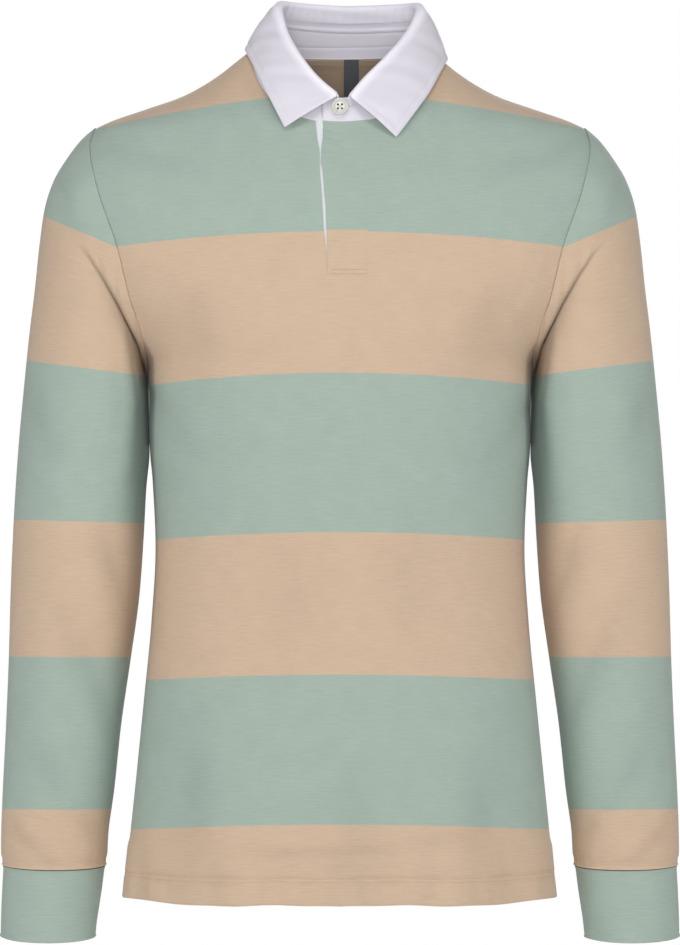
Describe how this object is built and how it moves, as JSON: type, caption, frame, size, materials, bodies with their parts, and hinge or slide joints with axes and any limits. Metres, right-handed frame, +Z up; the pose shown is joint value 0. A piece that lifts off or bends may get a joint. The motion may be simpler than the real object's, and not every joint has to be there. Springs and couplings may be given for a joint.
{
  "type": "long-sleeve polo shirt",
  "caption": "Striped long-sleeve polo shirt in its worn, filled-out shape, with a woven fold-down collar, buttoned neck placket, cuffs and side vents.",
  "frame": {"origin": "middle of the neck opening, at the level of the high shoulder points, where the wearer's neck and shoulders hold the shirt", "axes": "+X towards the wearer's left, -Y out of the front, +Z up the neck"},
  "size_m": [0.5828, 0.2348, 0.8114],
  "materials": {
    "striped_jersey": "soft cotton jersey in broad sage and beige bands, faint sheen",
    "cuff_jersey": "plain sage cotton jersey, double layer",
    "collar_twill": "white woven cotton twill, topstitched",
    "button_plastic": "cream polyester button, satin",
    "neck_tape": "beige cotton tape",
    "neck_label": "bare dark grey woven satin"
  },
  "bodies": {
    "root": {"front": "striped_jersey", "back": "striped_jersey", "sleeve_left": "striped_jersey", "sleeve_right": "striped_jersey", "cuff_left": "cuff_jersey", "cuff_right": "cuff_jersey", "placket_top": "striped_jersey", "placket_under": "collar_twill", "collar_stand": "collar_twill", "collar_fall": "collar_twill", "button": "button_plastic", "neck_tape": "neck_tape", "neck_label": "neck_label"}
  },
  "joints": []
}
